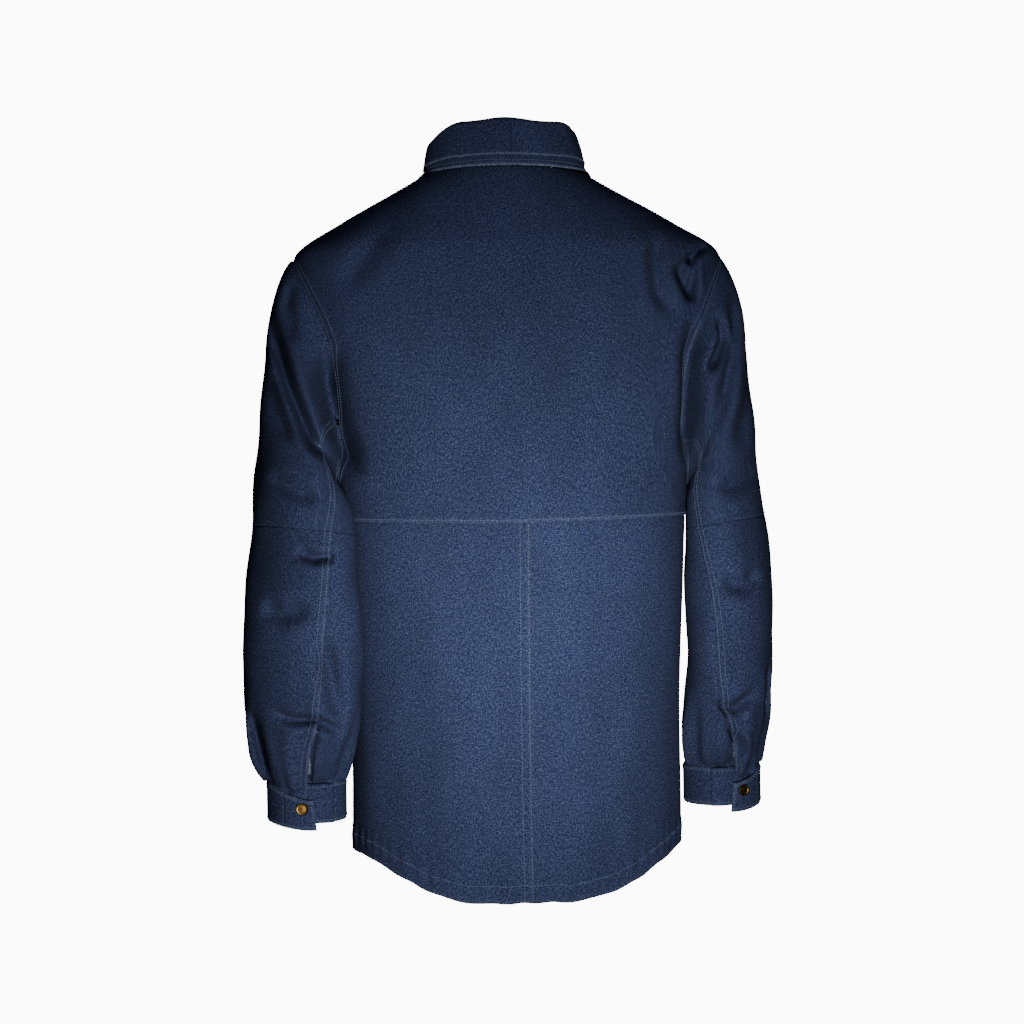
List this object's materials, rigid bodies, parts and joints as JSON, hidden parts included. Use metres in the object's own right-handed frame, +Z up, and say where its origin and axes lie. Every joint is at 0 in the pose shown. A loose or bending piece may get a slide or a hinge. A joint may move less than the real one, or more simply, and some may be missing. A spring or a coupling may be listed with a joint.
{
  "type": "denim welding jacket",
  "caption": "Long-sleeved indigo denim work and welding jacket with folded collar, deep back yoke, snap front and snap cuffs.",
  "frame": {"origin": "middle of the neck opening, level with the collar seam at the centre back", "axes": "+Z up, back of the jacket towards +Y, wearer's left arm towards +X"},
  "size_m": [0.5752, 0.2629, 0.8102],
  "materials": {
    "denim": "matte",
    "denim_inside": "matte",
    "antique_brass": "satin",
    "snap_metal": "satin"
  },
  "bodies": {
    "torso": {"back_yoke": "denim", "back_left": "denim", "back_right": "denim", "front_left_side": "denim", "front_right_side": "denim", "front_left_fold": "denim", "front_right_fold": "denim", "collar_stand_back": "denim", "collar_leaf_back": "denim", "neck_tape": "denim_inside", "sleeve_left_head": "denim", "sleeve_right_head": "denim"},
    "left_front": {"front_left": "denim", "facing_left": "denim_inside", "collar_stand_left": "denim", "collar_leaf_left": "denim", "front_snap_caps": "antique_brass", "front_snap_sockets": "snap_metal"},
    "right_front": {"front_right": "denim", "facing_right": "denim_inside", "collar_stand_right": "denim", "collar_leaf_right": "denim", "front_snap_studs": "snap_metal", "front_snap_posts": "antique_brass"},
    "hang_loop": {"hang_loop": "denim_inside"},
    "left_upper_sleeve": {"sleeve_left_top_upper": "denim", "sleeve_left_under_upper": "denim", "sleeve_left_elbow": "denim"},
    "left_lower_sleeve": {"sleeve_left_top_lower": "denim", "sleeve_left_under_lower": "denim", "vent_binding_left": "denim_inside", "cuff_left": "denim", "cuff_left_under_end": "denim", "cuff_left_snap_stud": "snap_metal", "cuff_left_snap_post": "antique_brass"},
    "left_cuff_tab": {"cuff_left_tab": "denim", "cuff_left_snap_cap": "antique_brass", "cuff_left_snap_socket": "snap_metal"},
    "right_upper_sleeve": {"sleeve_right_top_upper": "denim", "sleeve_right_under_upper": "denim", "sleeve_right_elbow": "denim"},
    "right_lower_sleeve": {"sleeve_right_top_lower": "denim", "sleeve_right_under_lower": "denim", "vent_binding_right": "denim_inside", "cuff_right": "denim", "cuff_right_under_end": "denim", "cuff_right_snap_stud": "snap_metal", "cuff_right_snap_post": "antique_brass"},
    "right_cuff_tab": {"cuff_right_tab": "denim", "cuff_right_snap_cap": "antique_brass", "cuff_right_snap_socket": "snap_metal"}
  },
  "joints": [
    {"name": "front_left_open", "type": "hinge", "parent": "torso", "child": "left_front", "pos_m": [0.108, -0.12, -0.718], "axis": [-0.0537, 0.0311, 0.9981], "range_deg": [0, 80], "deforming": ["front_left_fold", "collar_stand_left", "collar_leaf_left"]},
    {"name": "front_right_open", "type": "hinge", "parent": "torso", "child": "right_front", "pos_m": [-0.108, -0.12, -0.718], "axis": [0.0537, 0.0311, 0.9981], "range_deg": [-40, 0], "deforming": ["front_right_fold", "collar_stand_right", "collar_leaf_right"]},
    {"name": "hang_loop_lift", "type": "hinge", "parent": "torso", "child": "hang_loop", "pos_m": [0, 0.045, -0.008], "axis": [-1, 0, 0], "range_deg": [0, 75]},
    {"name": "shoulder_left", "type": "hinge", "parent": "torso", "child": "left_upper_sleeve", "pos_m": [0.208, 0.015, -0.175], "axis": [0, -1, 0], "range_deg": [0, 45], "deforming": ["sleeve_left_head"]},
    {"name": "elbow_left", "type": "hinge", "parent": "left_upper_sleeve", "child": "left_lower_sleeve", "pos_m": [0.225, 0.044, -0.442], "axis": [-0.9439, -0.3303, 0], "range_deg": [0, 55], "deforming": ["sleeve_left_elbow"]},
    {"name": "shoulder_right", "type": "hinge", "parent": "torso", "child": "right_upper_sleeve", "pos_m": [-0.208, 0.003, -0.175], "axis": [0, 1, 0], "range_deg": [0, 45], "deforming": ["sleeve_right_head"]},
    {"name": "elbow_right", "type": "hinge", "parent": "right_upper_sleeve", "child": "right_lower_sleeve", "pos_m": [-0.225, 0.008, -0.442], "axis": [-0.9439, 0.3303, 0], "range_deg": [0, 55], "deforming": ["sleeve_right_elbow"]},
    {"name": "cuff_tab_left", "type": "hinge", "parent": "left_lower_sleeve", "child": "left_cuff_tab", "pos_m": [0.24925, 0.05924, -0.666], "axis": [0, 0, -1], "range_deg": [0, 70]},
    {"name": "cuff_tab_right", "type": "hinge", "parent": "right_lower_sleeve", "child": "right_cuff_tab", "pos_m": [-0.25743, 0.01925, -0.666], "axis": [0, 0, 1], "range_deg": [0, 70]}
  ],
  "couplings": [
    {"joint": "front_right_open", "follows": "front_left_open", "ratio": -0.5}
  ]
}
